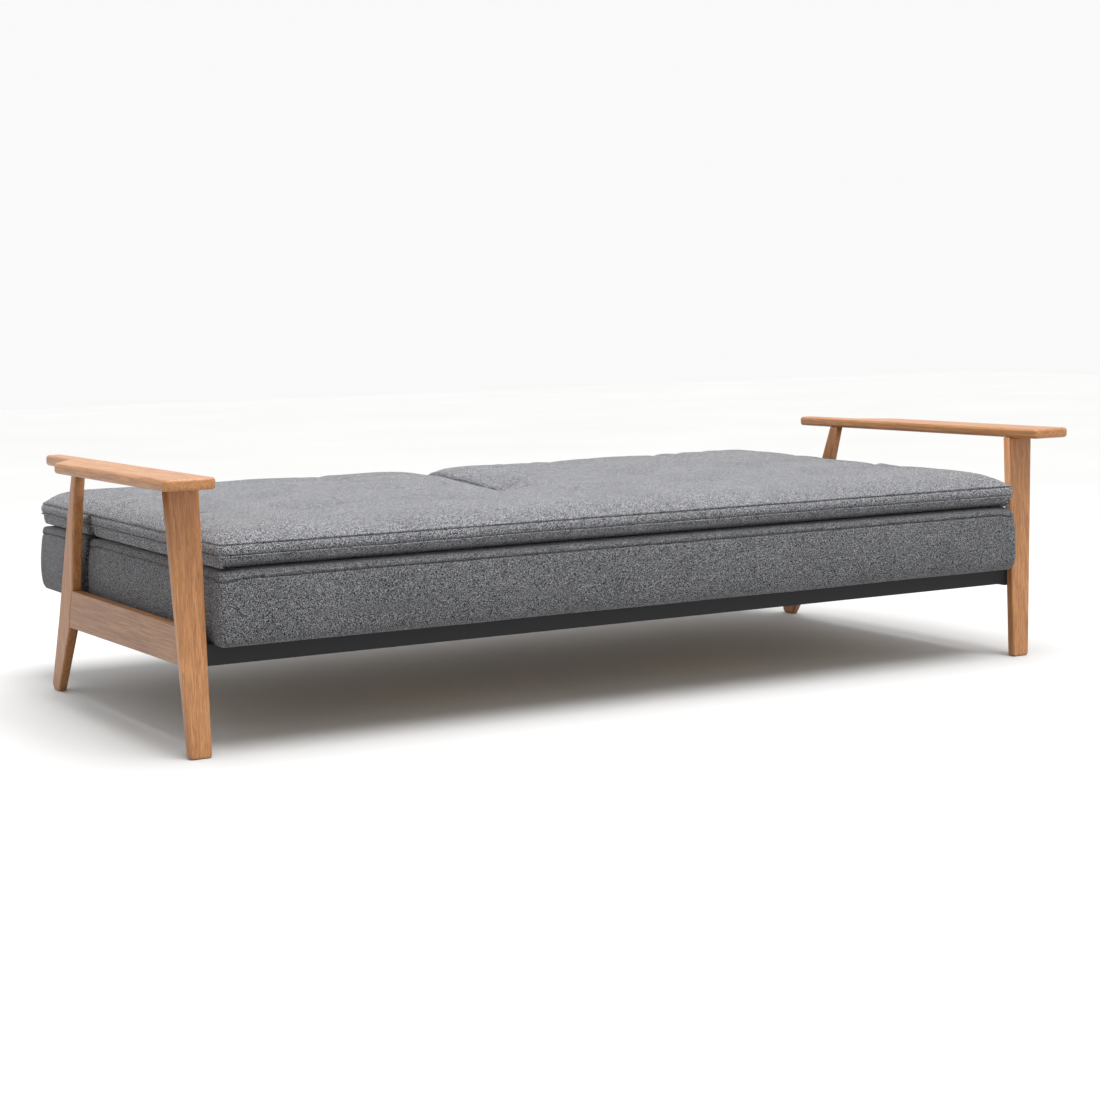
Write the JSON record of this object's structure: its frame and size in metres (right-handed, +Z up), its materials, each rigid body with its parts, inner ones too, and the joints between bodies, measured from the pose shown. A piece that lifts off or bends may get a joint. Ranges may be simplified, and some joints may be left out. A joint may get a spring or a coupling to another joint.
{
  "type": "sofa bed",
  "caption": "Long upholstered sofa bed lying flat on two open oak arm frames, with a padded topper and a back split into two halves that each hinge upright.",
  "frame": {"origin": "on the floor under the middle of the part, lying flat as a bed", "axes": "+X along the length, +Y towards the split back, +Z up"},
  "size_m": [2.378, 1.1909, 0.5719],
  "materials": {
    "oak": "clear satin lacquer",
    "dowel_wood": "plain beech",
    "plywood": "bare plywood",
    "black_steel": "black powder coat, slightly textured",
    "zinc_steel": "zinc plated",
    "grey_cloth": "mottled grey woven cloth",
    "topper_cloth": "mottled grey woven cloth"
  },
  "bodies": {
    "base": {"armrest_left": "oak", "armrest_right": "oak", "front_leg_left": "oak", "front_leg_right": "oak", "rear_leg_left": "oak", "rear_leg_right": "oak", "side_rail_left": "oak", "side_rail_right": "oak", "arm_dowels": "dowel_wood", "front_cross_rail": "black_steel", "rear_cross_rail": "black_steel", "end_plate_front_left": "black_steel", "end_plate_front_right": "black_steel", "end_plate_rear_left": "black_steel", "end_plate_rear_right": "black_steel", "seat_bearer_left": "black_steel", "seat_bearer_middle": "black_steel", "seat_bearer_right": "black_steel", "fixed_plate_left": "black_steel", "fixed_plate_middle": "black_steel", "fixed_plate_right": "black_steel", "end_plate_bolts": "zinc_steel", "hinge_pin_left": "zinc_steel", "hinge_pin_middle": "zinc_steel", "hinge_pin_right": "zinc_steel", "stop_stud_left": "zinc_steel", "stop_stud_middle": "zinc_steel", "stop_stud_right": "zinc_steel", "seat_board": "plywood", "seat_box": "grey_cloth", "seat_topper": "topper_cloth"},
    "back_left": {"back_box_left": "grey_cloth", "back_topper_left": "topper_cloth", "back_board_left": "plywood", "moving_plate_left_outer": "black_steel", "moving_plate_left_inner": "black_steel", "back_tube_left_outer": "black_steel", "back_tube_left_inner": "black_steel", "back_tube_left_rear": "black_steel"},
    "back_right": {"back_box_right": "grey_cloth", "back_topper_right": "topper_cloth", "back_board_right": "plywood", "moving_plate_right_outer": "black_steel", "moving_plate_right_inner": "black_steel", "back_tube_right_outer": "black_steel", "back_tube_right_inner": "black_steel", "back_tube_right_rear": "black_steel"}
  },
  "joints": [
    {"name": "back_left_hinge", "type": "hinge", "parent": "base", "child": "back_left", "pos_m": [-0.5, 0.245, 0.3625], "axis": [1, 0, 0], "range_deg": [0, 72]},
    {"name": "back_right_hinge", "type": "hinge", "parent": "base", "child": "back_right", "pos_m": [0.5, 0.245, 0.3625], "axis": [1, 0, 0], "range_deg": [0, 72]}
  ]
}
